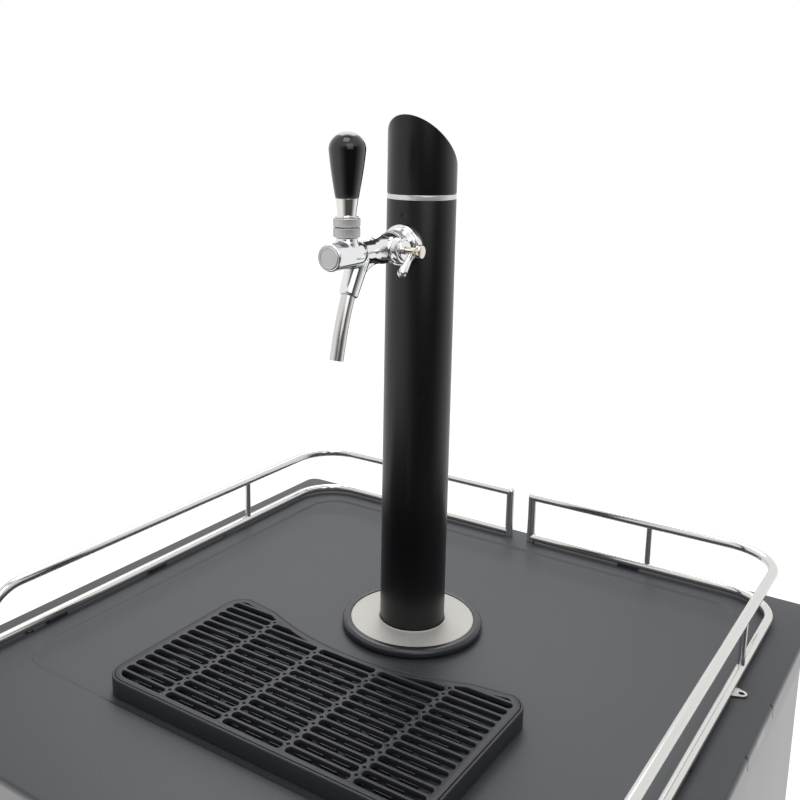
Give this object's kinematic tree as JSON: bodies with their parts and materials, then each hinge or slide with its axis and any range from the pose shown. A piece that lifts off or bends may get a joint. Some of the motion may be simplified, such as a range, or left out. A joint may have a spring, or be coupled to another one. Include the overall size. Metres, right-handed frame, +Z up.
{
  "type": "keg beer dispenser",
  "caption": "Refrigerated keg cabinet on castors with a guard-railed worktop, a single-tap column with a flow control, and a slotted drip tray.",
  "frame": {"origin": "on the floor under the middle of the overall box", "axes": "+Z up; -Y is the front, where the door and the tap's outlet are; +X is the door's hinge side"},
  "size_m": [0.62, 0.655, 1.3195],
  "materials": {
    "black_top": "satin moulded worktop",
    "rail_steel": "polished stainless tube",
    "rubber": "black rubber",
    "column_black": "matte black fine-grain coat",
    "ring_steel": "polished stainless ring",
    "steel": "plain steel",
    "cover_steel": "brushed stainless disc",
    "foam": "rigid foam",
    "line": "clear beer line",
    "fitting": "moulded push-in connector",
    "chrome": "chromed brass",
    "nickel": "nickelled brass",
    "spout_steel": "stainless tube",
    "handle_black": "glossy black handle",
    "tray_black": "matte black tray",
    "side_grey": "silver grey sheet",
    "back_grey": "grey sheet",
    "liner_white": "white inner liner",
    "evaporator": "aluminium plate",
    "fan_black": "black fan",
    "compressor_black": "black enamel",
    "panel_black": "black fascia",
    "button_grey": "grey button",
    "door_black": "black sheet steel",
    "seal_grey": "grey magnetic seal",
    "castor_steel": "zinc-plated steel",
    "wheel_black": "black castor wheel"
  },
  "bodies": {
    "cabinet": {"worktop": "black_top", "rail_left": "rail_steel", "rail_right": "rail_steel", "rail_pads": "rubber", "tower_column": "column_black", "tower_cap": "column_black", "cap_ring": "ring_steel", "cap_screw": "steel", "base_flange": "steel", "base_cover": "cover_steel", "base_gasket": "rubber", "flange_screws": "steel", "tower_foam": "foam", "beer_line": "line", "beer_connector": "fitting", "shank": "chrome", "shank_nut": "chrome", "shank_saddle": "chrome", "tail_elbow": "chrome", "coupling_ring": "chrome", "tap_body": "chrome", "front_plug": "chrome", "spout": "spout_steel", "tap_collar": "chrome", "flow_block": "chrome", "side_panel_left": "side_grey", "side_panel_right": "side_grey", "back_panel": "back_grey", "base_pan": "back_grey", "cabinet_foam": "foam", "cabinet_liner": "liner_white", "evaporator_plate": "evaporator", "fan_housing": "fan_black", "compressor": "compressor_black", "control_panel": "panel_black", "power_inlet": "fan_black", "door_hinges": "steel", "castor_mounts": "castor_steel"},
    "door": {"door_skin": "door_black", "door_core": "liner_white", "door_gasket": "seal_grey", "door_handle": "rail_steel"},
    "lever": {"tap_lever": "chrome", "handle_ferrule": "nickel", "handle_grip": "handle_black"},
    "shuttle": {"tap_shuttle": "steel"},
    "flow_control": {"flow_knob": "nickel", "flow_lever": "chrome"},
    "cone": {"flow_cone": "steel"},
    "tray": {"tray_pan": "tray_black"},
    "grille": {"tray_grille": "tray_black"},
    "fan": {"fan_rotor": "fan_black"},
    "button_up": {"button_up": "button_grey"},
    "button_down": {"button_down": "button_grey"},
    "fork_left": {"castor_fork_left": "castor_steel"},
    "fork_right": {"castor_fork_right": "castor_steel"},
    "wheel_front_left": {"wheel_front_left": "wheel_black"},
    "wheel_front_right": {"wheel_front_right": "wheel_black"},
    "wheel_rear_left": {"wheel_rear_left": "wheel_black"},
    "wheel_rear_right": {"wheel_rear_right": "wheel_black"}
  },
  "joints": [
    {"name": "door_hinge", "type": "hinge", "parent": "cabinet", "child": "door", "pos_m": [0.291, -0.2695, 0.425], "axis": [0, 0, 1], "range_deg": [0, 110]},
    {"name": "tap_lever_pivot", "type": "hinge", "parent": "cabinet", "child": "lever", "pos_m": [0, -0.0405, 1.211], "axis": [1, 0, 0], "range_deg": [0, 18]},
    {"name": "shuttle_slide", "type": "slide", "parent": "cabinet", "child": "shuttle", "axis": [0, 1, 0], "range_m": [0, 0.0016]},
    {"name": "flow_spindle", "type": "hinge", "parent": "cabinet", "child": "flow_control", "pos_m": [0.025, 0.0115, 1.211], "axis": [1, 0, 0], "range_deg": [-45, 45]},
    {"name": "cone_slide", "type": "slide", "parent": "cabinet", "child": "cone", "axis": [0, 1, 0], "range_m": [-0.0024, 0.0024]},
    {"name": "tray_lift", "type": "slide", "parent": "cabinet", "child": "tray", "axis": [0, 0, 1], "range_m": [0, 0.1]},
    {"name": "grille_lift", "type": "slide", "parent": "tray", "child": "grille", "axis": [0, 0, 1], "range_m": [0, 0.08]},
    {"name": "fan_spin", "type": "hinge", "parent": "cabinet", "child": "fan", "pos_m": [0, 0.245, 0.674], "axis": [0, 1, 0], "continuous": true},
    {"name": "button_up_press", "type": "slide", "parent": "cabinet", "child": "button_up", "axis": [0, 1, 0], "range_m": [0, 0.0012], "stiffness_N_per_m": 400, "springref_m": -0.0012},
    {"name": "button_down_press", "type": "slide", "parent": "cabinet", "child": "button_down", "axis": [0, 1, 0], "range_m": [0, 0.0012], "stiffness_N_per_m": 400, "springref_m": -0.0012},
    {"name": "castor_swivel_left", "type": "hinge", "parent": "cabinet", "child": "fork_left", "pos_m": [-0.252, -0.1855, 0.065], "axis": [0, 0, 1], "continuous": true},
    {"name": "front_wheel_spin_left", "type": "hinge", "parent": "fork_left", "child": "wheel_front_left", "pos_m": [-0.252, -0.2055, 0.025], "axis": [1, 0, 0], "continuous": true},
    {"name": "rear_wheel_spin_left", "type": "hinge", "parent": "cabinet", "child": "wheel_rear_left", "pos_m": [-0.252, 0.2505, 0.025], "axis": [1, 0, 0], "continuous": true},
    {"name": "castor_swivel_right", "type": "hinge", "parent": "cabinet", "child": "fork_right", "pos_m": [0.252, -0.1855, 0.065], "axis": [0, 0, 1], "continuous": true},
    {"name": "front_wheel_spin_right", "type": "hinge", "parent": "fork_right", "child": "wheel_front_right", "pos_m": [0.252, -0.2055, 0.025], "axis": [1, 0, 0], "continuous": true},
    {"name": "rear_wheel_spin_right", "type": "hinge", "parent": "cabinet", "child": "wheel_rear_right", "pos_m": [0.252, 0.2505, 0.025], "axis": [1, 0, 0], "continuous": true}
  ],
  "couplings": [
    {"joint": "shuttle_slide", "follows": "tap_lever_pivot", "m_per_rad": 0.005},
    {"joint": "cone_slide", "follows": "flow_spindle", "m_per_rad": 0.003}
  ]
}
